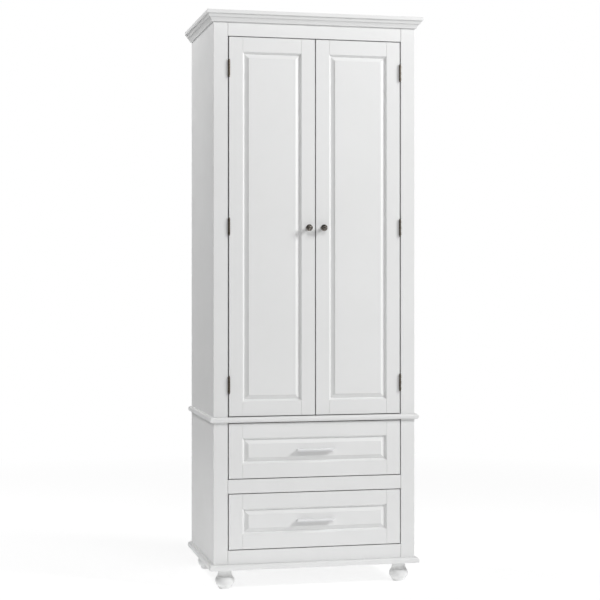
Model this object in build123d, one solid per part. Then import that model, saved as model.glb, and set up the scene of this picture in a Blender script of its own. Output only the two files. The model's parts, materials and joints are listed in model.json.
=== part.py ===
from build123d import *
import os

# A tall pantry cabinet in two sections: a pair of inset raised-panel doors above, two inset raised-panel
# drawers below, on four turned bun feet. Millimetres. +Z is up, the front faces -Y, and X runs to the right
# seen from the front. The origin is on the floor, at the middle of the whole cabinet's width and depth.
# Depths are measured back from the plane of the face frame's front, so a negative depth stands in front.

# ---- carcass ----
BODY_WIDTH = 572.0
BODY_DEPTH = 392.0
SIDE_T = 15.0
FRAME_T = 18.0
BACK_T = 5.0
BACK_REBATE = 8.0
STILE_W = 39.5
BOTTOM_RAIL_H = 38.0
DIVIDER_H = 38.0
TOP_RAIL_H = 38.0
FRAME_JOINT_W = 0.9
FRAME_JOINT_D = 5.0
EASE = 0.7

# ---- boards that overhang the body ----
BASE_T = 15.0
BASE_OVERHANG = 11.0
BASE_TOP_ROUND = 6.5
BASE_LOW_ROUND = 2.5
BELT_T = 15.0
BELT_OVERHANG = 10.0
BELT_ROUND = 6.8
CROWN_H = 30.0
CROWN_OVERHANG = 20.4
TOP_BOARD_T = 10.0
TOP_BOARD_ROUND = 1.2
LIP_OUT = 17.2
LIP_H = 8.5
LIP_FOOT_OUT = 12.9
LIP_ROUND = 1.2
FASCIA_HEAD_OUT = 11.4
FASCIA_FOOT_OUT = 4.6
FASCIA_HOLLOW = 0.6

# ---- feet ----
FOOT_H = 55.0
FOOT_PAD_R = 17.2
FOOT_PAD_EASE = 1.0
FOOT_ANKLE_R = 20.2
FOOT_ANKLE_Z = 8.0
FOOT_BULB_R = 26.9
FOOT_BULB_Z = 22.3
FOOT_SHOULDER_R = 21.4
FOOT_SHOULDER_Z = 34.2
FOOT_RING_R = 20.9
FOOT_RING_H = 2.4
FOOT_RING_STEP = 0.9
FOOT_NECK_R = 18.6
FOOT_NECK_Z = 42.0
FOOT_INSET_X = 37.0
FOOT_INSET_FRONT = 33.0
FOOT_INSET_BACK = 58.0
STUD_R = 4.0
STUD_DOWN = 26.0
STUD_UP = 12.0

# ---- doors and drawer fronts ----
GAP = 2.5
HINGE_GAP = 3.7
DRAWER_SIDE_GAP = 3.0
MEETING_GAP = 3.0
DRAWER_FRONT_H = 151.0
DOOR_H = 1039.0
FRONT_T = 18.0
STILE_FLAT = 38.0
RAIL_FLAT = 40.0
STICK_W = 5.4
STICK_EDGE = 0.5
STICK_D = 6.4
GROOVE_DEPTH = 8.0
TONGUE_FRONT = 7.0
TONGUE_T = 5.8
TONGUE_SLACK = 0.8
BEVEL_W = 11.0
SHOULDER = 1.3
SHOULDER_ROUND = 0.5
FIELD_D = 0.6
JOINT_SLOT_W = 0.6
JOINT_SLOT_D = 1.4

# ---- hinges ----
HINGE_H = 42.0
HINGE_FROM_END = 86.0
HINGE_AXIS_IN = 1.55
LEAF_T = 1.2
LEAF_BACK = 16.0
LEAF_GAP = 1.3
KNUCKLE_R = 2.7
KNUCKLE_COUNT = 5
KNUCKLE_PLAY = 0.2
KNUCKLE_OUT = 3.0
LEAF_CLEAR = 0.35
PIN_R = 1.4
PIN_PLAY = 0.05
TIP_R = 2.3
TIP_NECK_R = 1.6
TIP_NECK_H = 0.8
TIP_BALL_H = 2.0
TIP_H = 3.6
TIP_FLARE = 0.6
LEAF_SCREW_SPACING = 14.0
LEAF_SCREW_D = 8.5

# ---- knobs and pulls ----
KNOB_OUT = 24.0
KNOB_FROM_EDGE = 19.5
KNOB_BELOW_MIDDLE = 2.0
KNOB_R = 9.3
KNOB_NECK_R = 4.6
KNOB_NECK_OUT = 7.5
KNOB_ROSE_R = 6.6
KNOB_ROSE_T = 2.4
KNOB_HEAD_BACK = 15.0
KNOB_RIM = 18.5
KNOB_FACE_R = 6.0
KNOB_DOME_R = 3.6
KNOB_DOME_LEAN = 0.4
KNOB_ROSE_SWEEP = 0.5
KNOB_HEAD_SWEEP = 0.4
KNOB_EASE = 0.6
PULL_L = 105.0
PULL_OUT = 15.0
PULL_TOP_T = 2.4
PULL_LIP_H = 3.6
PULL_LIP_T = 2.4
PULL_BACK_H = 8.0
PULL_BACK_T = 2.4
PULL_ABOVE_MIDDLE = 2.0
PULL_ROUND = 1.2

# ---- shelves ----
SHELF_T = 15.0
SHELF_SIDE_PLAY = 1.0
SHELF_FRONT_D = 36.0
SHELF_BACK_D = 386.0
SHELF_HEIGHTS = (742.0, 1012.0, 1282.0)
PIN_HOLE_R = 2.5
PIN_HOLE_DEPTH = 9.0
PIN_HOLE_PITCH = 32.0
PIN_DEPTHS = (76.0, 340.0)
PIN_REACH = 9.0
PIN_COLLAR_R = 4.2
PIN_COLLAR_T = 0.8

# ---- drawer boxes and runners ----
BOX_SIDE_T = 12.0
BOX_H = 110.0
BOX_RISE = 11.5
BOX_BACK_D = 363.0
BOX_BOTTOM_T = 4.0
BOX_BOTTOM_UP = 8.0
BOX_GROOVE = 5.0
BOX_GROOVE_SLACK = 0.5
RUNNER_GAP = 12.7
RUNNER_WALL = 1.2
RUNNER_FRONT_D = 20.0
RUNNER_L = 340.0
RUNNER_UP = 45.0
OUTER_HALF_H = 22.5
OUTER_LEG = 9.5
MIDDLE_HALF_H = 19.5
MIDDLE_WEB_AT = 2.8
MIDDLE_LEG = 8.0
INNER_HALF_H = 16.5
INNER_LEG = 7.2
BATTEN_H = 50.0
BATTEN_L = 356.0

# ---- magnetic catches ----
CATCH_W = 40.0
CATCH_H = 20.0
CATCH_D = 14.0
CATCH_RISE = 6.0
CATCH_FLANGE_H = 24.0
CATCH_FLANGE_T = 1.2
CATCH_FROM_MIDDLE = 60.0
CATCH_PLAY = 0.3
CATCH_EASE = 0.5
STRIKE_T = 1.0
STRIKE_W = 34.0
STRIKE_H = 12.0
STRIKE_BELOW_EDGE = 1.5

# ---- screws: head radius, head height, shank radius, shank length ----
LEAF_SCREW = (3.4, LEAF_T, 1.6, 11.0)
STRIKE_SCREW = (2.6, STRIKE_T, 1.3, 9.0)
CATCH_SCREW = (3.0, 1.6, 1.4, 10.0)
BOARD_SCREW = (4.5, 2.4, 2.2, 38.0)
FRONT_SCREW = (4.0, 2.2, 2.0, 25.0)
PULL_SCREW = (4.0, 2.2, 2.0, 31.0)
KNOB_SCREW = (4.0, 2.2, 2.0, 29.0)
RUNNER_SCREW = (3.4, 1.0, 1.6, 9.0)
SCREW_POINT = 2.0
SCREW_TIP_SHARE = 0.25
PULL_SCREW_X = 32.0
PULL_SCREW_DOWN = 5.2
FRONT_SCREW_X = 214.0
FRONT_SCREW_DOWN = 30.0
RUNNER_SCREW_DEPTHS = (70.0, 310.0)
BOARD_SCREW_DEPTHS = (98.0, 196.0, 294.0)
CATCH_SCREW_X = 12.0
CATCH_SCREW_UP = 17.0
ROUND_HEAD = 0.4

# ---- places worked out from the dimensions above ----
LEFT, RIGHT = -1, 1
SIDES = {"left": LEFT, "right": RIGHT}
HALF_W = BODY_WIDTH / 2
OPENING_HALF = HALF_W - STILE_W
SIDE_INNER = HALF_W - SIDE_T
FACE_Y = (KNOB_OUT - BODY_DEPTH) / 2
BASE_TOP = FOOT_H + BASE_T
BOTTOM_RAIL_TOP = BASE_TOP + BOTTOM_RAIL_H
LOWER_FRONT_Z = BOTTOM_RAIL_TOP + GAP
DIVIDER_Z = LOWER_FRONT_Z + DRAWER_FRONT_H + GAP
UPPER_FRONT_Z = DIVIDER_Z + DIVIDER_H + GAP
BELT_Z = UPPER_FRONT_Z + DRAWER_FRONT_H + GAP
BELT_TOP = BELT_Z + BELT_T
DOOR_Z = BELT_TOP + GAP
TOP_RAIL_Z = DOOR_Z + DOOR_H + GAP
CROWN_Z = TOP_RAIL_Z + TOP_RAIL_H
TOP_BOARD_Z = CROWN_Z + CROWN_H - TOP_BOARD_T
DRAWER_FRONT_W = 2 * (OPENING_HALF - DRAWER_SIDE_GAP)
DOOR_HINGE_X = OPENING_HALF - HINGE_GAP
DOOR_W = DOOR_HINGE_X - MEETING_GAP / 2
GAP_MIDDLE_X = OPENING_HALF - HINGE_GAP / 2
HINGE_X = GAP_MIDDLE_X - HINGE_AXIS_IN
HINGE_HEIGHTS = (DOOR_Z + HINGE_FROM_END, DOOR_Z + DOOR_H / 2, DOOR_Z + DOOR_H - HINGE_FROM_END)
KNUCKLE_H = HINGE_H / KNUCKLE_COUNT
BOX_HALF_W = OPENING_HALF - RUNNER_GAP
DRAWER_FRONTS = {"lower": LOWER_FRONT_Z, "upper": UPPER_FRONT_Z}


# ---- helpers ----

def slab(x, depth, z):
    """A box between pairs of limits: x, depth back from the face frame's front, and height."""
    sizes = [high - low for low, high in (x, depth, z)]
    return at(sum(x) / 2, sum(depth) / 2, sum(z) / 2) * Box(*sizes)


def at(x, depth, z):
    """A place given by x, depth back from the face frame's front, and height."""
    return Pos(x, FACE_Y + depth, z)


def across(side, near, far):
    """Limits in X of a piece that lies between two distances from the middle, on one side."""
    return (near, far) if side == RIGHT else (-far, -near)


def eased(solid, radius=EASE):
    """A square piece with all its edges lightly rounded, as painted wood has."""
    return fillet(solid.edges(), radius)


def outline(*lines):
    """A flat face inside lines that join end to end."""
    return make_face([edge for line in lines for edge in line.edges()])


def turned(*lines):
    """A solid turned about Z from half its outline, given as (radius, height)."""
    return revolve(Plane.XZ * outline(*lines), Axis.Z, 360)


def sections_out(x=0.0, z=0.0):
    """The plane in which a section is drawn as (distance forward of the face frame, height)."""
    return Plane(origin=(x, FACE_Y, z), x_dir=(0, -1, 0), z_dir=(-1, 0, 0))


def save(name, *pieces):
    """Write one node: a single solid, or several separate ones."""
    solids = [solid for piece in pieces for solid in piece.solids()]
    shape = solids[0] if len(solids) == 1 else Compound(solids)
    export_step(shape, os.path.join("parts", name + ".step"))


# ---- screws ----

def headed_screw(head_r, head_h, shank_r, length):
    """A round-headed screw that points up +Z, with the underside of its head at the origin."""
    head = Pos(0, 0, -head_h / 2) * Cylinder(head_r, head_h)
    crown_edge = head.edges().sort_by(Axis.Z)[0]
    return fillet(crown_edge, head_h * ROUND_HEAD) + screw_shank(shank_r, 0, length)


def flush_screw(head_r, head_h, shank_r, length):
    """A countersunk screw that points up +Z, with the top of its head at the origin."""
    return Pos(0, 0, head_h / 2) * Cone(head_r, shank_r, head_h) + screw_shank(shank_r, head_h, length)


def screw_shank(radius, start, length):
    """A screw's shank up to the given length, and its point."""
    straight = length - SCREW_POINT - start
    shank = Pos(0, 0, start + straight / 2) * Cylinder(radius, straight)
    return shank + Pos(0, 0, length - SCREW_POINT / 2) * Cone(radius, radius * SCREW_TIP_SHARE, SCREW_POINT)


FORWARD = Rot(90, 0, 0)


def sideways(direction):
    """A turn that points +Z along +X or -X."""
    return Rot(0, 90 * direction, 0)


# ---- feet and boards ----

def foot():
    """A turned bun foot: a flared pad, a round bulb, and a thin ring below a waisted neck."""
    ring_z = FOOT_SHOULDER_Z + FOOT_RING_STEP
    ring_top = ring_z + FOOT_RING_H
    ring_root = FOOT_RING_R - FOOT_RING_STEP
    ankle = (FOOT_ANKLE_R, FOOT_ANKLE_Z)
    shoulder = (FOOT_SHOULDER_R, FOOT_SHOULDER_Z)
    return turned(
        Polyline((0, 0), (FOOT_PAD_R - FOOT_PAD_EASE, 0), (FOOT_PAD_R, FOOT_PAD_EASE), ankle),
        ThreePointArc(ankle, (FOOT_BULB_R, FOOT_BULB_Z), shoulder),
        Polyline(shoulder, (ring_root, FOOT_SHOULDER_Z), (ring_root, ring_z)),
        ThreePointArc((ring_root, ring_z), (FOOT_RING_R, (ring_z + ring_top) / 2), (ring_root, ring_top)),
        Polyline((ring_root, ring_top), (FOOT_NECK_R, FOOT_NECK_Z), (FOOT_NECK_R, FOOT_H)),
        Polyline((FOOT_NECK_R, FOOT_H), (0, FOOT_H), (0, 0)),
    )


def foot_places():
    """The four feet's places, at floor height."""
    depths = (FOOT_INSET_FRONT, BODY_DEPTH - FOOT_INSET_BACK)
    return [at(side * (HALF_W - FOOT_INSET_X), depth, 0) for depth in depths for side in SIDES.values()]


def foot_stud():
    """A stud screwed up out of a foot into the base board."""
    length = STUD_DOWN + STUD_UP
    return Pos(0, 0, FOOT_H + STUD_UP - length / 2) * Cylinder(STUD_R, length)


def overhanging_board(overhang, low, high, top_round, low_round):
    """A board proud of the body at the front and both sides, with its show edges rounded over."""
    out = HALF_W + overhang
    board = slab((-out, out), (-overhang, BODY_DEPTH), (low, high))
    board = fillet(show_edges(board, high), top_round)
    return fillet(show_edges(board, low), low_round)


def show_edges(board, height):
    """A board's front and side edges at one height."""
    level = [edge for edge in board.edges() if abs(edge.center().Z - height) < EASE]
    return [edge for edge in level if edge.center().Y < FACE_Y + BODY_DEPTH - EASE]


def top_board():
    """The flat board over the crown moulding."""
    out = HALF_W + CROWN_OVERHANG
    board = slab((-out, out), (-CROWN_OVERHANG, BODY_DEPTH), (TOP_BOARD_Z, TOP_BOARD_Z + TOP_BOARD_T))
    return eased(board, TOP_BOARD_ROUND)


def crown_section():
    """The moulding under the top board: a slightly hollow fascia, and a round-edged sloping lip above it."""
    lip_z = TOP_BOARD_Z - LIP_H
    foot = (FASCIA_FOOT_OUT, CROWN_Z)
    head = (FASCIA_HEAD_OUT, lip_z)
    middle = ((FASCIA_FOOT_OUT + FASCIA_HEAD_OUT) / 2 - FASCIA_HOLLOW, (CROWN_Z + lip_z) / 2)
    section = outline(
        Polyline((0, TOP_BOARD_Z), (0, CROWN_Z), foot),
        ThreePointArc(foot, middle, head),
        Polyline(head, (LIP_FOOT_OUT, lip_z), (LIP_OUT, TOP_BOARD_Z), (0, TOP_BOARD_Z)),
    )
    lip_edge = [v for v in section.vertices() if v.X > LIP_FOOT_OUT - EASE and v.Y < TOP_BOARD_Z - EASE]
    return fillet(lip_edge, LIP_ROUND)


def crown_lengths():
    """Three mitred lengths of moulding: the front, the right and the left."""
    reach = CROWN_OVERHANG
    side_plane = Plane(origin=(HALF_W, FACE_Y, 0), x_dir=(1, 0, 0), z_dir=(0, -1, 0))
    front = extrude(sections_out() * crown_section(), HALF_W + reach, both=True)
    right = extrude(side_plane * crown_section(), BODY_DEPTH, both=True)
    out = HALF_W + reach
    front &= mitre_block((-out, -reach), (out, -reach), (HALF_W, 0), (-HALF_W, 0))
    right &= mitre_block((HALF_W, 0), (out, -reach), (out, BODY_DEPTH), (HALF_W, BODY_DEPTH))
    return [front, right, mirror(right, Plane.YZ)]


def mitre_block(*plan):
    """An upright block over a plan, given as (x, depth), to cut a length of moulding to its mitres."""
    base = make_face(Polyline(*plan, close=True))
    return at(0, 0, 0) * extrude(base, TOP_BOARD_Z)


# ---- carcass ----

def side_panel(side, low, high):
    """A carcass side, rebated at the back for the back panel."""
    panel = slab(across(side, SIDE_INNER, HALF_W), (FRAME_T, BODY_DEPTH), (low, high))
    outer = [edge for edge in panel.edges().filter_by(Axis.Z) if abs(edge.center().X) > HALF_W - EASE]
    rebate_x = across(side, SIDE_INNER, SIDE_INNER + BACK_REBATE)
    return fillet(outer, EASE) - slab(rebate_x, (BODY_DEPTH - BACK_T, BODY_DEPTH), (low, high))


def back_panel(low, high):
    """A thin back let into the sides' rebates."""
    reach = SIDE_INNER + BACK_REBATE
    return slab((-reach, reach), (BODY_DEPTH - BACK_T, BODY_DEPTH), (low, high))


def face_stile(side, low, high):
    """A face-frame stile."""
    return eased(slab(across(side, OPENING_HALF, HALF_W), (0, FRAME_T), (low, high)))


def face_rail(low, high):
    """A face-frame rail between the stiles, with a fine open joint at each end in front."""
    rail = eased(slab((-OPENING_HALF, OPENING_HALF), (0, FRAME_T), (low, high)))
    for side in SIDES.values():
        joint_x = across(side, OPENING_HALF - FRAME_JOINT_W, OPENING_HALF)
        rail -= slab(joint_x, (0, FRAME_JOINT_D), (low, high))
    return rail


def upper_side(side):
    """An upper side panel, drilled above and below each shelf so that the shelf can be moved."""
    panel = side_panel(side, BELT_TOP, TOP_BOARD_Z)
    for depth in PIN_DEPTHS:
        for height in SHELF_HEIGHTS:
            for step in (-1, 0, 1):
                hole = pin_rod(side, 0, PIN_HOLE_DEPTH, PIN_HOLE_R)
                panel -= at(0, depth, height - PIN_HOLE_R + step * PIN_HOLE_PITCH) * hole
    return panel


def pin_rod(side, inwards, outwards, radius):
    """A round bar through a side panel's inner face, from inside the cabinet out into the panel."""
    low, high = across(side, SIDE_INNER - inwards, SIDE_INNER + outwards)
    return Pos((low + high) / 2, 0, 0) * Rot(0, 90, 0) * Cylinder(radius, high - low)


def shelf(height):
    """An adjustable shelf, its underside at the given height."""
    reach = SIDE_INNER - SHELF_SIDE_PLAY
    return eased(slab((-reach, reach), (SHELF_FRONT_D, SHELF_BACK_D), (height, height + SHELF_T)))


def shelf_pins():
    """Four pins to a shelf, each with a thin collar against the side panel."""
    pins = []
    for side in SIDES.values():
        pin = pin_rod(side, PIN_REACH, PIN_HOLE_DEPTH, PIN_HOLE_R)
        pin += pin_rod(side, PIN_COLLAR_T, 0, PIN_COLLAR_R)
        pins += [at(0, depth, height - PIN_HOLE_R) * pin for depth in PIN_DEPTHS for height in SHELF_HEIGHTS]
    return pins


def board_screws():
    """Screws up through the base board into the lower sides."""
    x = HALF_W - SIDE_T / 2
    screw = headed_screw(*BOARD_SCREW)
    return [at(side * x, depth, FOOT_H) * screw for side in SIDES.values() for depth in BOARD_SCREW_DEPTHS]


# ---- raised-panel fronts, shared by the doors and the drawers ----

def member_section(flat):
    """A frame member's section as (distance in from its outer edge, depth), chamfered and grooved inside."""
    inner = flat + STICK_W
    groove_back = TONGUE_FRONT + TONGUE_T
    return outline(
        Polyline(
            (0, 0),
            (flat, 0),
            (flat + STICK_EDGE / 2, STICK_EDGE),
            (inner, STICK_D),
            (inner, TONGUE_FRONT),
            (inner - GROOVE_DEPTH, TONGUE_FRONT),
            (inner - GROOVE_DEPTH, groove_back),
            (inner, groove_back),
            (inner, FRONT_T),
            (0, FRONT_T),
            (0, 0),
        )
    )


def framed_front(width, height, low_x, low_z):
    """Two stiles, two rails coped over their moulding, and the panel between, in their places."""
    envelope = eased(Pos(width / 2, FRONT_T / 2, height / 2) * Box(width, FRONT_T, height))
    stile = extrude(member_section(STILE_FLAT), height)
    stiles = [stile, Pos(width, 0, 0) * mirror(stile, Plane.YZ)]
    rail_plane = Plane(origin=(width / 2, 0, 0), x_dir=(0, 0, 1), z_dir=(-1, 0, 0))
    rail = extrude(rail_plane * member_section(RAIL_FLAT), width / 2 - STILE_FLAT, both=True)
    for stile in stiles:
        rail -= stile
    rail = rail.solids().sort_by(SortBy.VOLUME)[-1]
    rails = [rail, Pos(0, 0, height) * mirror(rail, Plane.XY)]
    slots = joint_slots(width, height)
    place = at(low_x, 0, low_z)
    members = [[place * ((member & envelope) - slots) for member in pair] for pair in (stiles, rails)]
    return members[0], members[1], place * raised_panel(width, height)


def joint_slots(width, height):
    """A hairline opening along each line where a rail butts a stile, as it shows through the paint."""
    slot = Box(JOINT_SLOT_W, 2 * JOINT_SLOT_D, RAIL_FLAT)
    inset = STILE_FLAT + JOINT_SLOT_W / 2
    lines = [(x, z) for x in (inset, width - inset) for z in (RAIL_FLAT / 2, height - RAIL_FLAT / 2)]
    return [Pos(x, 0, z) * slot for x, z in lines]


def raised_panel(width, height):
    """A panel with a tongue in the frame's groove, a bevel, and a raised field with a small shoulder."""

    def layer(inset, depth):
        """A rectangle inside the frame's moulded edge, at one depth, facing forwards."""
        plane = Plane(origin=(width / 2, depth, height / 2), x_dir=(1, 0, 0), z_dir=(0, -1, 0))
        opening_w = width - 2 * (STILE_FLAT + STICK_W)
        opening_h = height - 2 * (RAIL_FLAT + STICK_W)
        return plane * Rectangle(opening_w - 2 * inset, opening_h - 2 * inset)

    tongue = extrude(layer(TONGUE_SLACK - GROOVE_DEPTH, TONGUE_FRONT), -TONGUE_T)
    bevel = loft([layer(0, TONGUE_FRONT), layer(BEVEL_W, FIELD_D + SHOULDER)])
    field = extrude(layer(BEVEL_W, FIELD_D + SHOULDER), SHOULDER)
    field = fillet(field.faces().sort_by(Axis.Y)[0].edges(), SHOULDER_ROUND)
    return tongue + bevel + field


# ---- hinges ----

def leaf_limits(side, on_door):
    """A leaf's limits in X, and the direction from the pin towards what the leaf is screwed to."""
    towards = -side if on_door else side
    reaches = (LEAF_GAP / 2, LEAF_GAP / 2 + LEAF_T)
    return sorted(side * GAP_MIDDLE_X + towards * reach for reach in reaches), towards


def hinge_leaf(side, height, on_door):
    """A leaf on the door's edge or the stile's, with its own knuckles and countersunk holes."""
    plate_x, _ = leaf_limits(side, on_door)
    foot_z = height - HINGE_H / 2
    clear_d = KNUCKLE_R - KNUCKLE_OUT + LEAF_CLEAR
    leaf = slab(plate_x, (clear_d, LEAF_BACK), (foot_z, foot_z + HINGE_H))
    for index in range(1 if on_door else 0, KNUCKLE_COUNT, 2):
        low = foot_z + index * KNUCKLE_H + KNUCKLE_PLAY / 2
        high = low + KNUCKLE_H - KNUCKLE_PLAY
        leaf += slab(plate_x, (-KNUCKLE_OUT, clear_d), (low, high))
        leaf += at(side * HINGE_X, -KNUCKLE_OUT, (low + high) / 2) * Cylinder(KNUCKLE_R, high - low)
    bore = PIN_R + PIN_PLAY if on_door else PIN_R
    leaf -= at(side * HINGE_X, -KNUCKLE_OUT, height) * Cylinder(bore, HINGE_H)
    for screw in leaf_screws(side, height, on_door):
        leaf -= screw
    return leaf


def leaf_screws(side, height, on_door):
    """Three countersunk screws up a leaf."""
    plate_x, towards = leaf_limits(side, on_door)
    start = plate_x[0] if towards == RIGHT else plate_x[1]
    screw = sideways(towards) * flush_screw(*LEAF_SCREW)
    return [at(start, LEAF_SCREW_D, height + step * LEAF_SCREW_SPACING) * screw for step in (-1, 0, 1)]


def hinge_pin(side, height):
    """A pin through all the knuckles, with a small turned tip above and below."""
    half = HINGE_H / 2
    tip = turned(
        Polyline((0, half), (TIP_NECK_R, half), (TIP_NECK_R, half + TIP_NECK_H)),
        Spline(
            (TIP_NECK_R, half + TIP_NECK_H),
            (TIP_R, half + TIP_BALL_H),
            (0, half + TIP_H),
            tangents=((1, TIP_FLARE), (-1, 0)),
        ),
        Line((0, half + TIP_H), (0, half)),
    )
    pin = Cylinder(PIN_R, HINGE_H) + tip + mirror(tip, Plane.XY)
    return at(side * HINGE_X, -KNUCKLE_OUT, height) * pin


# ---- knobs, pulls and catches ----

def knob(x, z):
    """A round knob: a rose on the door, a waisted neck, and a disc head with a stepped, domed face."""
    ring_z = KNOB_RIM + 2 * KNOB_EASE
    body = turned(
        Polyline(
            (0, 0),
            (KNOB_ROSE_R - KNOB_EASE, 0),
            (KNOB_ROSE_R, KNOB_EASE),
            (KNOB_ROSE_R, KNOB_ROSE_T - KNOB_EASE),
            (KNOB_ROSE_R - KNOB_EASE, KNOB_ROSE_T),
        ),
        Spline(
            (KNOB_ROSE_R - KNOB_EASE, KNOB_ROSE_T),
            (KNOB_NECK_R, KNOB_NECK_OUT),
            (KNOB_R - KNOB_EASE, KNOB_HEAD_BACK),
            tangents=((-1, KNOB_ROSE_SWEEP), (1, KNOB_HEAD_SWEEP)),
        ),
        Polyline(
            (KNOB_R - KNOB_EASE, KNOB_HEAD_BACK),
            (KNOB_R, KNOB_HEAD_BACK + KNOB_EASE),
            (KNOB_R, KNOB_RIM - KNOB_EASE),
            (KNOB_R - 2 * KNOB_EASE, KNOB_RIM + KNOB_EASE),
            (KNOB_FACE_R + KNOB_EASE, ring_z + KNOB_EASE),
            (KNOB_FACE_R, ring_z),
        ),
        Spline(
            (KNOB_FACE_R, ring_z),
            (KNOB_DOME_R, KNOB_OUT - KNOB_EASE),
            (0, KNOB_OUT),
            tangents=((-KNOB_DOME_LEAN, 1), (-1, 0)),
        ),
        Line((0, KNOB_OUT), (0, 0)),
    )
    return at(x, 0, z) * FORWARD * body


def pull(z):
    """A straight lip pull: a back flange on the drawer, a flat top, and a lip turned down in front."""
    section = make_face(
        Polyline(
            (0, 0),
            (PULL_OUT, 0),
            (PULL_OUT, -PULL_LIP_H),
            (PULL_OUT - PULL_LIP_T, -PULL_LIP_H),
            (PULL_OUT - PULL_LIP_T, -PULL_TOP_T),
            (PULL_BACK_T, -PULL_TOP_T),
            (PULL_BACK_T, -PULL_BACK_H),
            (0, -PULL_BACK_H),
            close=True,
        )
    )
    corner = [vertex for vertex in section.vertices() if vertex.X > PULL_OUT - EASE and vertex.Y > -EASE]
    section = fillet(corner, PULL_ROUND)
    return Pos(0, FIELD_D, 0) * extrude(sections_out(z=z) * section, PULL_L / 2, both=True)


def catch(side):
    """A magnetic catch: a flange on the back of the top rail, and a magnet case that hangs below it."""
    x = across(side, CATCH_FROM_MIDDLE - CATCH_W / 2, CATCH_FROM_MIDDLE + CATCH_W / 2)
    front_d = FRONT_T + STRIKE_T + CATCH_PLAY
    case_top = TOP_RAIL_Z + CATCH_RISE
    case = eased(slab(x, (front_d, front_d + CATCH_D), (case_top - CATCH_H, case_top)), CATCH_EASE)
    flange_z = (TOP_RAIL_Z + EASE, TOP_RAIL_Z + CATCH_FLANGE_H)
    return case + slab(x, (FRAME_T, front_d + CATCH_FLANGE_T), flange_z)


def catch_screws(side):
    """Two short screws through a catch's flange into the top rail."""
    depth = FRONT_T + STRIKE_T + CATCH_PLAY + CATCH_FLANGE_T
    screw = FORWARD * headed_screw(*CATCH_SCREW)
    xs = (side * CATCH_FROM_MIDDLE + step for step in (-CATCH_SCREW_X, CATCH_SCREW_X))
    return [at(x, depth, TOP_RAIL_Z + CATCH_SCREW_UP) * screw for x in xs]


def strike_screws(side):
    """Two flush screws through the strike plate into the back of the door."""
    screw = FORWARD * flush_screw(*STRIKE_SCREW)
    xs = (side * CATCH_FROM_MIDDLE + step for step in (-CATCH_SCREW_X, CATCH_SCREW_X))
    z = DOOR_Z + DOOR_H - STRIKE_BELOW_EDGE - STRIKE_H / 2
    return [at(x, FRONT_T + STRIKE_T, z) * screw for x in xs]


def strike(side):
    """A thin steel plate on the door's back that meets the magnet."""
    x = across(side, CATCH_FROM_MIDDLE - STRIKE_W / 2, CATCH_FROM_MIDDLE + STRIKE_W / 2)
    top = DOOR_Z + DOOR_H - STRIKE_BELOW_EDGE
    plate = slab(x, (FRONT_T, FRONT_T + STRIKE_T), (top - STRIKE_H, top))
    return plate - strike_screws(side)


# ---- drawer boxes and runners ----

def box_bottom(base, slack=0.0):
    """The thin bottom let into grooves all round; slack makes the grooves that hold it deeper."""
    low = base + BOX_BOTTOM_UP
    reach = BOX_HALF_W - BOX_SIDE_T + BOX_GROOVE + slack
    front = FRONT_T + BOX_SIDE_T - BOX_GROOVE - slack
    back = BOX_BACK_D - BOX_SIDE_T + BOX_GROOVE + slack
    return slab((-reach, reach), (front, back), (low, low + BOX_BOTTOM_T))


def box_side(side, base):
    """One side of a drawer box, grooved for the bottom."""
    side_x = across(side, BOX_HALF_W - BOX_SIDE_T, BOX_HALF_W)
    board = slab(side_x, (FRONT_T, BOX_BACK_D), (base, base + BOX_H))
    return eased(board) - box_bottom(base, BOX_GROOVE_SLACK)


def box_ends(base):
    """Front and back of a drawer box, between its sides, grooved for the bottom."""
    reach = BOX_HALF_W - BOX_SIDE_T
    depths = ((FRONT_T, FRONT_T + BOX_SIDE_T), (BOX_BACK_D - BOX_SIDE_T, BOX_BACK_D))
    boards = [eased(slab((-reach, reach), depth, (base, base + BOX_H))) for depth in depths]
    return [board - box_bottom(base, BOX_GROOVE_SLACK) for board in boards]


def channel(side, web_at, leg, half_height, middle_z):
    """A runner member: an upright web, a distance in from the opening's side, with a leg above and below.

    A leg of positive length points towards the middle of the cabinet, and a negative one away from it.
    """
    web_far = OPENING_HALF - web_at
    leg_root = web_far if leg > 0 else web_far - RUNNER_WALL
    leg_limits = sorted((leg_root, leg_root - leg))
    depth = (RUNNER_FRONT_D, RUNNER_FRONT_D + RUNNER_L)
    low, high = middle_z - half_height, middle_z + half_height
    member = slab(across(side, web_far - RUNNER_WALL, web_far), depth, (low, high))
    member += slab(across(side, *leg_limits), depth, (low, low + RUNNER_WALL))
    return member + slab(across(side, *leg_limits), depth, (high - RUNNER_WALL, high))


def batten(side, middle_z):
    """A packing strip that brings a runner in to the line of the face frame."""
    z = (middle_z - BATTEN_H / 2, middle_z + BATTEN_H / 2)
    return slab(across(side, OPENING_HALF, SIDE_INNER), (FRAME_T, FRAME_T + BATTEN_L), z)


def runner_screws(side, web_inner, direction, middle_z):
    """Two screws through a runner's web, pointing away from the middle (1) or towards it (-1)."""
    screw = sideways(side * direction) * headed_screw(*RUNNER_SCREW)
    return [at(side * web_inner, depth, middle_z) * screw for depth in RUNNER_SCREW_DEPTHS]


def front_screws(base):
    """Four screws from inside the box through its front into the drawer front's stiles."""
    depth = FRONT_T + BOX_SIDE_T
    screw = FORWARD * headed_screw(*FRONT_SCREW)
    heights = (base + FRONT_SCREW_DOWN, base + BOX_H - FRONT_SCREW_DOWN)
    return [at(side * FRONT_SCREW_X, depth, z) * screw for side in SIDES.values() for z in heights]


def pull_screws(top_z):
    """Two long screws from inside the box through to the pull's back flange."""
    screw = FORWARD * headed_screw(*PULL_SCREW)
    z = top_z - PULL_SCREW_DOWN
    return [at(side * PULL_SCREW_X, FRONT_T + BOX_SIDE_T, z) * screw for side in SIDES.values()]


# ---- sub-assemblies ----

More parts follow.
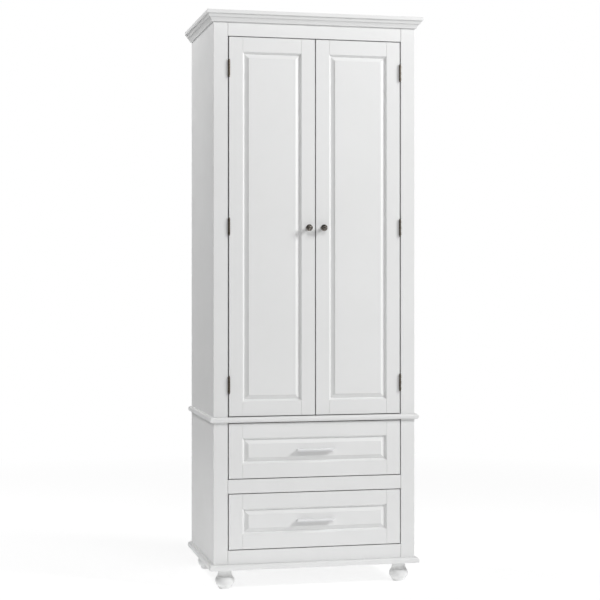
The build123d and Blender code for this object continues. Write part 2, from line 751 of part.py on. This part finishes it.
def save_boards_and_feet():
    """Everything the cabinet stands on, and the boards that overhang it."""
    save("feet", *[place * foot() for place in foot_places()])
    save("foot_studs", *[place * foot_stud() for place in foot_places()])
    save("base_board", overhanging_board(BASE_OVERHANG, FOOT_H, BASE_TOP, BASE_TOP_ROUND, BASE_LOW_ROUND))
    save("middle_board", overhanging_board(BELT_OVERHANG, BELT_Z, BELT_TOP, BELT_ROUND, BELT_ROUND))
    save("top_board", top_board())
    save("crown_moulding", *crown_lengths())


def save_carcass():
    """Sides, backs, face frame and shelves."""
    for name, side in SIDES.items():
        save("lower_side_" + name, side_panel(side, BASE_TOP, BELT_Z))
        save("upper_side_" + name, upper_side(side))
    save("lower_stiles", *[face_stile(side, BASE_TOP, BELT_Z) for side in SIDES.values()])
    save("upper_stiles", *[face_stile(side, BELT_TOP, TOP_BOARD_Z) for side in SIDES.values()])
    save("bottom_rail", face_rail(BASE_TOP, BOTTOM_RAIL_TOP))
    save("drawer_divider_rail", face_rail(DIVIDER_Z, DIVIDER_Z + DIVIDER_H))
    save("top_rail", face_rail(TOP_RAIL_Z, TOP_BOARD_Z))
    save("lower_back_panel", back_panel(BASE_TOP, BELT_Z))
    save("upper_back_panel", back_panel(BELT_TOP, TOP_BOARD_Z))
    for name, height in zip(("lower", "middle", "upper"), SHELF_HEIGHTS):
        save("shelf_" + name, shelf(height))
    save("shelf_pins", *shelf_pins())


def save_fixed_hardware():
    """Hinge leaves and pins on the face frame, catches, battens, runners and the screws for them all."""
    places = [(side, height) for side in SIDES.values() for height in HINGE_HEIGHTS]
    runners = [(side, runner_middle(z)) for side in SIDES.values() for z in DRAWER_FRONTS.values()]
    web_face = OPENING_HALF - RUNNER_WALL
    save("hinge_frame_leaves", *[hinge_leaf(side, height, False) for side, height in places])
    save("hinge_pins", *[hinge_pin(side, height) for side, height in places])
    save("magnetic_catches", *[catch(side) for side in SIDES.values()])
    save("runner_battens", *[batten(side, middle) for side, middle in runners])
    save("cabinet_runners", *[channel(side, 0, OUTER_LEG, OUTER_HALF_H, middle) for side, middle in runners])
    screws = board_screws()
    for side, height in places:
        screws += leaf_screws(side, height, False)
    for side in SIDES.values():
        screws += catch_screws(side)
    for side, middle in runners:
        screws += runner_screws(side, web_face, 1, middle)
    save("cabinet_screws", *screws)


def save_door(name, side):
    """One door with its hinge leaves, knob and strike plate."""
    low_x = -DOOR_HINGE_X if side == LEFT else MEETING_GAP / 2
    stiles, rails, panel = framed_front(DOOR_W, DOOR_H, low_x, DOOR_Z)
    knob_x = side * (MEETING_GAP / 2 + KNOB_FROM_EDGE)
    knob_z = DOOR_Z + DOOR_H / 2 - KNOB_BELOW_MIDDLE
    screws = [at(knob_x, FRONT_T, knob_z) * FORWARD * headed_screw(*KNOB_SCREW)]
    for height in HINGE_HEIGHTS:
        screws += leaf_screws(side, height, True)
    save(name + "_door_stiles", *stiles)
    save(name + "_door_rails", *rails)
    save(name + "_door_panel", panel)
    save(name + "_door_knob", knob(knob_x, knob_z))
    save(name + "_door_hinge_leaves", *[hinge_leaf(side, height, True) for height in HINGE_HEIGHTS])
    save(name + "_door_strike", strike(side))
    save(name + "_door_screws", *screws, *strike_screws(side))


def runner_middle(front_z):
    """The height of a runner's middle, from the height of its drawer front's lower edge."""
    return front_z + BOX_RISE + RUNNER_UP


def save_drawer(name, front_z):
    """One drawer: its front, its box, its pull, and the moving runner members."""
    base = front_z + BOX_RISE
    middle = runner_middle(front_z)
    pull_z = front_z + DRAWER_FRONT_H / 2 + PULL_ABOVE_MIDDLE
    stiles, rails, panel = framed_front(DRAWER_FRONT_W, DRAWER_FRONT_H, -DRAWER_FRONT_W / 2, front_z)
    inner_web_at = RUNNER_GAP - RUNNER_WALL
    screws = front_screws(base) + pull_screws(pull_z)
    for side in SIDES.values():
        screws += runner_screws(side, OPENING_HALF - inner_web_at, -1, middle)
    save(name + "_drawer_front_frame", *stiles, *rails)
    save(name + "_drawer_front_panel", panel)
    save(name + "_drawer_pull", pull(pull_z))
    save(name + "_drawer_sides", *[box_side(side, base) for side in SIDES.values()])
    save(name + "_drawer_ends", *box_ends(base))
    save(name + "_drawer_bottom", box_bottom(base))
    save(
        name + "_drawer_runners",
        *[channel(side, inner_web_at, -INNER_LEG, INNER_HALF_H, middle) for side in SIDES.values()],
    )
    save(
        name + "_runner_middles",
        *[channel(side, MIDDLE_WEB_AT, MIDDLE_LEG, MIDDLE_HALF_H, middle) for side in SIDES.values()],
    )
    save(name + "_drawer_screws", *screws)


os.makedirs("parts", exist_ok=True)
save_boards_and_feet()
save_carcass()
save_fixed_hardware()
for door_name, door_side in SIDES.items():
    save_door(door_name, door_side)
for drawer_name, drawer_z in DRAWER_FRONTS.items():
    save_drawer(drawer_name, drawer_z)
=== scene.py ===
import bpy
import json
import math
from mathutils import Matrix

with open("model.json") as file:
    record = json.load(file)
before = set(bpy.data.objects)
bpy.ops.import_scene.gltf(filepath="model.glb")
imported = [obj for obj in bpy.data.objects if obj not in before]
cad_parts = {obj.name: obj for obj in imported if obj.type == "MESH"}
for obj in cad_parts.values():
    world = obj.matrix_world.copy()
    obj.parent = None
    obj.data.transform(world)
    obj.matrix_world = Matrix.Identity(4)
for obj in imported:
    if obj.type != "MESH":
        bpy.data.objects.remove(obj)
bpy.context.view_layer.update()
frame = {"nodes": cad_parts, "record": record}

# Metres throughout. The cabinet's front faces -Y and +X is to the right seen from the front.

# ---- camera: a long lens from front left, level, at about mid height ----
CAMERA_X = -0.9754
CAMERA_Y = -4.2870
CAMERA_Z = 0.8545
CAMERA_YAW_DEG = 12.79
LENS_MM = 91.34
SENSOR_MM = 36.0
SHIFT_Y = -0.0368

# ---- studio ----
WHITE = (1.0, 1.0, 1.0)
FLOOR_RADIUS = 60.0
FLOOR_NEAR = 1.0  # from here outwards the floor, as seen, fades to white
FLOOR_FAR = 3.0
FLOOR_COLOUR = (0.93, 0.93, 0.93)  # what lights the cabinet from below
FLOOR_ROUGHNESS = 0.9
FLOOR_SHEEN = 0.1
FLOOR_SHADE = (0.35, 0.35, 0.35)  # what the camera sees: a little shading over a glow
FLOOR_GLOW = 0.74
BOUNCE_STRENGTH = 0.31  # extra light off the floor close to the feet
BOUNCE_NEAR = 0.3
BOUNCE_FAR = 0.7
WORLD_STRENGTH = 0.105

# name: place, the point it faces, its two sides in metres, its power in watts
LIGHTS = {
    "key": ((3.2, -2.3, 3.0), (0.0, -0.18, 0.9), (1.3, 1.3), 137.0),
    "front": ((0.0, -3.0, 3.0), (0.0, -0.18, 1.2), (2.0, 1.0), 34.0),
    "side": ((-2.0, 1.4, 2.8), (-0.29, 0.1, 1.3), (1.0, 1.0), 62.0),
}

# ---- paint ----
# Grain under the paint runs up the upright pieces and along the ones whose names hold these words.
GRAIN_UPRIGHT = (12.0, 12.0, 1.0)
GRAIN_ACROSS = (1.0, 12.0, 12.0)
ACROSS_WORDS = ("rail", "board", "shelf", "crown", "drawer_front")

# ---- colours: linear red, green and blue ----
PAINT_LOW = (0.800, 0.803, 0.800)
PAINT_HIGH = (0.825, 0.828, 0.827)
PAINT_HANDLED = (0.785, 0.785, 0.775)
PAINT_RUBBED = (0.865, 0.862, 0.850)
BOARD_LOW = (0.78, 0.78, 0.77)
BOARD_HIGH = (0.81, 0.81, 0.80)
BOARD_DUSTY = (0.74, 0.735, 0.72)
BOARD_CORE = (0.62, 0.56, 0.47)
BIRCH_DARK = (0.60, 0.45, 0.28)
BIRCH_MIDDLE = (0.72, 0.57, 0.38)
BIRCH_PALE = (0.79, 0.65, 0.46)
BIRCH_FIBRE = (0.52, 0.38, 0.23)
BIRCH_EDGE = (0.84, 0.72, 0.55)
BRONZE_DARK = (0.10, 0.085, 0.068)
BRONZE_LIGHT = (0.22, 0.19, 0.155)
BRONZE_RUBBED = (0.50, 0.43, 0.33)
KNOB_DARK = (0.05, 0.044, 0.038)
KNOB_LIGHT = (0.42, 0.385, 0.35)
KNOB_RUBBED = (0.80, 0.77, 0.70)
SATIN_LOW = (0.86, 0.86, 0.87)
SATIN_HIGH = (0.92, 0.92, 0.93)
SATIN_RUBBED = (0.96, 0.96, 0.96)
ZINC = (0.66, 0.68, 0.70)
NICKEL = (0.74, 0.71, 0.66)
PLATING_SHADE = 0.8
PLATING_RUBBED = (0.86, 0.86, 0.86)
PLASTIC_LOW = (0.76, 0.76, 0.74)
PLASTIC_HIGH = (0.80, 0.80, 0.78)

# ---- shader habits shared by the materials ----
NOISE_LOW = 0.3
NOISE_HIGH = 0.7
PATCH_LOW = 0.40
PATCH_HIGH = 0.62
EDGE_SAMPLES = 4

# ---- places of the Mix node's sockets, which share their names ----
MIX_COLOURS_IN = (6, 7)
MIX_COLOUR_OUT = 2
MIX_NUMBERS_IN = (2, 3)
MIX_NUMBER_OUT = 0


# ---- small helpers for shader nodes ----

class Shader:
    """A material being built: its node tree, with short ways to add and join nodes."""

    def __init__(self, name):
        self.material = bpy.data.materials.new(name)
        self.material.use_nodes = True
        self.tree = self.material.node_tree
        self.bsdf = self.tree.nodes["Principled BSDF"]
        self.place = self.add("ShaderNodeTexCoord").outputs["Object"]

    def add(self, kind, **settings):
        node = self.tree.nodes.new(kind)
        for key, value in settings.items():
            setattr(node, key, value)
        return node

    def join(self, source, target):
        self.tree.links.new(source, target)

    def stretched(self, scale):
        """The piece's own coordinates, squeezed by a factor along each axis."""
        mapping = self.add("ShaderNodeMapping")
        mapping.inputs["Scale"].default_value = scale
        self.join(self.place, mapping.inputs["Vector"])
        return mapping.outputs["Vector"]

    def noise(self, scale, detail=3.0, roughness=0.5, vector=None, distortion=0.0):
        """Smooth noise with about this many features to the metre."""
        node = self.add("ShaderNodeTexNoise")
        node.inputs["Scale"].default_value = scale
        node.inputs["Detail"].default_value = detail
        node.inputs["Roughness"].default_value = roughness
        node.inputs["Distortion"].default_value = distortion
        self.join(vector or self.place, node.inputs["Vector"])
        return node.outputs["Fac"]

    def spread(self, source, low, high, start=NOISE_LOW, end=NOISE_HIGH):
        """A value that runs from low to high while the source runs from start to end."""
        node = self.add("ShaderNodeMapRange")
        node.inputs["From Min"].default_value = start
        node.inputs["From Max"].default_value = end
        node.inputs["To Min"].default_value = low
        node.inputs["To Max"].default_value = high
        self.join(source, node.inputs["Value"])
        return node.outputs["Result"]

    def colours(self, source, *stops):
        """A colour ramp through (position, colour) stops."""
        node = self.add("ShaderNodeValToRGB")
        ramp = node.color_ramp
        while len(ramp.elements) < len(stops):
            ramp.elements.new(0.5)
        for element, (position, colour) in zip(ramp.elements, stops):
            element.position = position
            element.color = (*colour, 1.0)
        self.join(source, node.inputs["Fac"])
        return node.outputs["Color"]

    def between(self, source, low, high):
        """A colour that follows a noise from the low colour to the high one."""
        return self.colours(source, (NOISE_LOW, low), (NOISE_HIGH, high))

    def edges(self, radius, start=0.80, end=0.985):
        """1 on a convex or concave edge, falling to 0 within about the radius."""
        rounded = self.add("ShaderNodeBevel", samples=EDGE_SAMPLES)
        rounded.inputs["Radius"].default_value = radius
        surface = self.add("ShaderNodeNewGeometry")
        turn = self.add("ShaderNodeVectorMath", operation="DOT_PRODUCT")
        self.join(rounded.outputs["Normal"], turn.inputs[0])
        self.join(surface.outputs["Normal"], turn.inputs[1])
        return self.spread(turn.outputs["Value"], 1.0, 0.0, start, end)

    def worn(self, edge, patches, share):
        """The edges broken up by a noise, as uneven wear."""
        broken = self.add("ShaderNodeMath", operation="MULTIPLY")
        self.join(edge, broken.inputs[0])
        self.join(self.spread(patches, 0.0, share, PATCH_LOW, PATCH_HIGH), broken.inputs[1])
        return broken.outputs["Value"]

    def blend(self, factor, first, second):
        """From the first colour, an output, to the second, which is plain."""
        node = self.add("ShaderNodeMix", data_type="RGBA")
        self.join(factor, node.inputs["Factor"])
        first_in, second_in = (node.inputs[place] for place in MIX_COLOURS_IN)
        self.join(first, first_in)
        second_in.default_value = (*second, 1.0)
        return node.outputs[MIX_COLOUR_OUT]

    def eased_by(self, factor, first, value):
        """From the first number, an output, to a plain value."""
        node = self.add("ShaderNodeMix", data_type="FLOAT")
        self.join(factor, node.inputs["Factor"])
        first_in, second_in = (node.inputs[place] for place in MIX_NUMBERS_IN)
        self.join(first, first_in)
        second_in.default_value = value
        return node.outputs[MIX_NUMBER_OUT]

    def glow(self, strength=1.0):
        node = self.add("ShaderNodeEmission")
        node.inputs["Strength"].default_value = strength
        return node

    def sum_of(self, first, second):
        """Two shaders laid over each other."""
        node = self.add("ShaderNodeAddShader")
        self.join(first, node.inputs[0])
        self.join(second, node.inputs[1])
        return node.outputs["Shader"]

    def mixed(self, factor, first, second):
        """From the first shader to the second."""
        node = self.add("ShaderNodeMixShader")
        self.join(factor, node.inputs["Fac"])
        self.join(first, node.inputs[1])
        self.join(second, node.inputs[2])
        return node.outputs["Shader"]

    def bump(self, *layers):
        """Bumps laid over each other, each (height, depth in metres, strength)."""
        normal = None
        for height, depth, strength in layers:
            node = self.add("ShaderNodeBump")
            node.inputs["Distance"].default_value = depth
            node.inputs["Strength"].default_value = strength
            self.join(height, node.inputs["Height"])
            if normal is not None:
                self.join(normal, node.inputs["Normal"])
            normal = node.outputs["Normal"]
        self.join(normal, self.bsdf.inputs["Normal"])

    def finish(self, colour, roughness, metallic=0.0, specular=0.5, coat=0.0, coat_roughness=0.1):
        """Join the colour and roughness outputs, set the plain values, and hand over the material."""
        self.join(colour, self.bsdf.inputs["Base Color"])
        self.join(roughness, self.bsdf.inputs["Roughness"])
        self.bsdf.inputs["Metallic"].default_value = metallic
        self.bsdf.inputs["Specular IOR Level"].default_value = specular
        self.bsdf.inputs["Coat Weight"].default_value = coat
        self.bsdf.inputs["Coat Roughness"].default_value = coat_roughness
        return self.material


# ---- materials ----

def white_paint(name, grain):
    """Sprayed satin white paint over smooth wood: a fine orange peel, faint grain, slightly rubbed edges."""
    s = Shader(name)
    cloud = s.noise(4.0, detail=3.0)
    peel = s.noise(650.0, detail=2.0, roughness=0.6)
    fibre = s.noise(70.0, detail=4.0, roughness=0.6, vector=s.stretched(grain))
    handled = s.noise(14.0, detail=5.0, roughness=0.65)
    rub = s.worn(s.edges(0.0022), s.noise(90.0, detail=4.0, roughness=0.7), 0.7)
    colour = s.between(cloud, PAINT_LOW, PAINT_HIGH)
    colour = s.blend(s.spread(handled, 0.0, 0.25, 0.5, 0.75), colour, PAINT_HANDLED)
    colour = s.blend(rub, colour, PAINT_RUBBED)
    s.bump((fibre, 0.0004, 0.12), (peel, 0.00008, 0.30))
    return s.finish(colour, s.eased_by(rub, s.spread(handled, 0.34, 0.47), 0.28), specular=0.45)


def back_board(name):
    """A thin white-faced board: flatter and duller than the paint."""
    s = Shader(name)
    speck = s.noise(1400.0, detail=2.0)
    dust = s.noise(20.0, detail=4.0)
    edge = s.worn(s.edges(0.0015), s.noise(120.0, detail=3.0), 0.9)
    colour = s.between(s.noise(8.0), BOARD_LOW, BOARD_HIGH)
    colour = s.blend(s.spread(dust, 0.0, 0.3, 0.5, 0.75), colour, BOARD_DUSTY)
    colour = s.blend(edge, colour, BOARD_CORE)
    s.bump((speck, 0.00005, 0.3))
    return s.finish(colour, s.spread(speck, 0.5, 0.62), specular=0.35)


def bare_wood(name):
    """Pale birch under clear lacquer, with its figure along the length of the board."""
    s = Shader(name)
    long_grain = s.stretched((9.0, 1.0, 9.0))
    figure = s.noise(9.0, detail=5.0, roughness=0.55, vector=long_grain, distortion=0.6)
    fibre = s.noise(120.0, detail=3.0, vector=long_grain)
    edge = s.worn(s.edges(0.0015), s.noise(100.0, detail=3.0), 0.5)
    colour = s.colours(figure, (0.25, BIRCH_DARK), (0.5, BIRCH_MIDDLE), (0.75, BIRCH_PALE))
    colour = s.blend(s.spread(fibre, 0.0, 0.25, 0.5, 0.8), colour, BIRCH_FIBRE)
    colour = s.blend(edge, colour, BIRCH_EDGE)
    s.bump((figure, 0.0003, 0.15), (fibre, 0.0001, 0.3))
    return s.finish(colour, s.spread(fibre, 0.42, 0.55), specular=0.4, coat=0.15, coat_roughness=0.3)


def aged_metal(name, mottle_scale, dark, light, rubbed, low, high):
    """Dark plated metal with a roughness from low to high, mottled, and rubbed brighter on its edges."""
    s = Shader(name)
    mottle = s.noise(mottle_scale, detail=4.0, roughness=0.65)
    rub = s.worn(s.edges(0.0009, 0.7, 0.99), s.noise(1200.0, detail=3.0), 1.0)
    colour = s.blend(rub, s.colours(mottle, (0.38, dark), (0.66, light)), rubbed)
    s.bump((mottle, 0.0001, 0.3))
    return s.finish(colour, s.eased_by(rub, s.spread(mottle, low, high), low), metallic=1.0)


def satin_metal(name):
    """Satin aluminium, brushed along its length, with brighter edges."""
    s = Shader(name)
    brush = s.noise(900.0, detail=3.0, roughness=0.7, vector=s.stretched((0.012, 1.0, 1.0)))
    smear = s.noise(35.0, detail=4.0)
    rub = s.worn(s.edges(0.0008), s.noise(300.0, detail=3.0), 0.8)
    colour = s.between(brush, SATIN_LOW, SATIN_HIGH)
    colour = s.blend(rub, colour, SATIN_RUBBED)
    s.bump((brush, 0.00004, 0.2))
    return s.finish(colour, s.spread(smear, 0.34, 0.46), metallic=0.25, specular=0.8)


def plated_steel(name, tint, low, high):
    """Bright plated steel with a roughness from low to high, faint clouds in it, and polished edges."""
    s = Shader(name)
    cloud = s.noise(260.0, detail=3.0)
    dim = tuple(channel * PLATING_SHADE for channel in tint)
    rub = s.worn(s.edges(0.0006), s.noise(500.0, detail=3.0), 0.8)
    colour = s.blend(rub, s.between(cloud, dim, tint), PLATING_RUBBED)
    s.bump((s.noise(1500.0), 0.00004, 0.3))
    return s.finish(colour, s.spread(cloud, low, high), metallic=1.0)


def moulded_plastic(name):
    """White moulded plastic with a fine matt texture and slightly polished edges."""
    s = Shader(name)
    grain = s.noise(2500.0, detail=2.0)
    rub = s.worn(s.edges(0.0008), s.noise(400.0, detail=3.0), 0.8)
    colour = s.between(s.noise(60.0), PLASTIC_LOW, PLASTIC_HIGH)
    s.bump((grain, 0.00005, 0.4))
    return s.finish(colour, s.eased_by(rub, s.spread(grain, 0.45, 0.6), 0.35))


def build_materials():
    """One material for each of the record's slots, with two directions of grain under the paint."""
    return {
        "white_paint": white_paint("paint_upright", GRAIN_UPRIGHT),
        "white_paint_across": white_paint("paint_across", GRAIN_ACROSS),
        "back_board": back_board("back_board"),
        "bare_wood": bare_wood("bare_wood"),
        "dark_bronze": aged_metal("dark_bronze", 700.0, BRONZE_DARK, BRONZE_LIGHT, BRONZE_RUBBED, 0.32, 0.5),
        "knob_metal": aged_metal("knob_metal", 260.0, KNOB_DARK, KNOB_LIGHT, KNOB_RUBBED, 0.2, 0.36),
        "satin_metal": satin_metal("satin_metal"),
        "zinc_steel": plated_steel("zinc_steel", ZINC, 0.25, 0.4),
        "nickel": plated_steel("nickel", NICKEL, 0.15, 0.28),
        "catch_plastic": moulded_plastic("catch_plastic"),
    }


def dress_nodes(materials):
    """Give every CAD piece its material."""
    for entry in frame["record"]["subparts"]:
        node, slot = entry["node"], entry["material_slot"]
        if slot == "white_paint" and any(word in node for word in ACROSS_WORDS):
            slot = "white_paint_across"
        piece = frame["nodes"][node]
        piece.data.materials.clear()
        piece.data.materials.append(materials[slot])


# ---- studio ----

def build_camera():
    data = bpy.data.cameras.new("camera")
    data.lens = LENS_MM
    data.sensor_width = SENSOR_MM
    data.shift_y = SHIFT_Y
    camera = bpy.data.objects.new("camera", data)
    camera.location = (CAMERA_X, CAMERA_Y, CAMERA_Z)
    camera.rotation_euler = (math.radians(90), 0.0, -math.radians(CAMERA_YAW_DEG))
    bpy.context.scene.collection.objects.link(camera)
    bpy.context.scene.camera = camera


def build_floor():
    """A pale floor. Seen directly it is close to white, with a faint shadow, and fades into the surround."""
    mesh = bpy.data.meshes.new("floor")
    r = FLOOR_RADIUS
    mesh.from_pydata([(-r, -r, 0), (r, -r, 0), (r, r, 0), (-r, r, 0)], [], [(0, 1, 2, 3)])
    floor = bpy.data.objects.new("floor", mesh)
    bpy.context.scene.collection.objects.link(floor)
    mesh.materials.append(floor_paint())


def floor_paint():
    """Two looks of the floor: one for the camera, and a plain pale one that lights the cabinet."""
    s = Shader("floor")
    s.bsdf.inputs["Base Color"].default_value = (*FLOOR_COLOUR, 1.0)
    s.bsdf.inputs["Roughness"].default_value = FLOOR_ROUGHNESS
    s.bsdf.inputs["Specular IOR Level"].default_value = FLOOR_SHEEN
    distance = s.add("ShaderNodeVectorMath", operation="LENGTH")
    s.join(s.place, distance.inputs[0])

    shaded = s.add("ShaderNodeBsdfDiffuse")
    shaded.inputs["Color"].default_value = (*FLOOR_SHADE, 1.0)
    close_by = s.sum_of(shaded.outputs["BSDF"], s.glow(FLOOR_GLOW).outputs["Emission"])
    fade = s.spread(distance.outputs["Value"], 0.0, 1.0, FLOOR_NEAR, FLOOR_FAR)
    seen = s.mixed(fade, close_by, s.glow().outputs["Emission"])

    bounce = s.glow()
    bounce_by_place = s.spread(distance.outputs["Value"], BOUNCE_STRENGTH, 0.0, BOUNCE_NEAR, BOUNCE_FAR)
    s.join(bounce_by_place, bounce.inputs["Strength"])
    lit = s.sum_of(s.bsdf.outputs["BSDF"], bounce.outputs["Emission"])

    path = s.add("ShaderNodeLightPath")
    surface = s.mixed(path.outputs["Is Camera Ray"], lit, seen)
    s.join(surface, s.tree.nodes["Material Output"].inputs["Surface"])
    return s.material


def soft_light(name, place, aim, size, power):
    """A large soft white panel that faces a point."""
    data = bpy.data.lights.new(name, "AREA")
    data.shape = "RECTANGLE"
    data.size, data.size_y = size
    data.energy = power
    data.color = WHITE
    light = bpy.data.objects.new(name, data)
    light.location = place
    direction = [a - p for a, p in zip(aim, place)]
    yaw = math.atan2(direction[1], direction[0]) - math.pi / 2
    pitch = math.atan2(direction[2], math.hypot(direction[0], direction[1]))
    light.rotation_euler = (math.pi / 2 + pitch, 0.0, yaw)
    bpy.context.scene.collection.objects.link(light)


def build_light():
    """White surroundings, dimmer as a light than they look, and the three soft panels."""
    world = bpy.data.worlds.new("studio")
    world.use_nodes = True
    nodes, links = world.node_tree.nodes, world.node_tree.links
    fill = nodes["Background"]
    seen = nodes.new("ShaderNodeBackground")
    for background, strength in ((fill, WORLD_STRENGTH), (seen, 1.0)):
        background.inputs["Color"].default_value = (*WHITE, 1.0)
        background.inputs["Strength"].default_value = strength
    path = nodes.new("ShaderNodeLightPath")
    mix = nodes.new("ShaderNodeMixShader")
    links.new(path.outputs["Is Camera Ray"], mix.inputs["Fac"])
    links.new(fill.outputs["Background"], mix.inputs[1])
    links.new(seen.outputs["Background"], mix.inputs[2])
    links.new(mix.outputs["Shader"], nodes["World Output"].inputs["Surface"])
    bpy.context.scene.world = world
    for name, (place, aim, size, power) in LIGHTS.items():
        soft_light(name, place, aim, size, power)


dress_nodes(build_materials())
build_floor()
build_light()
build_camera()
bpy.context.scene.view_settings.view_transform = "Standard"
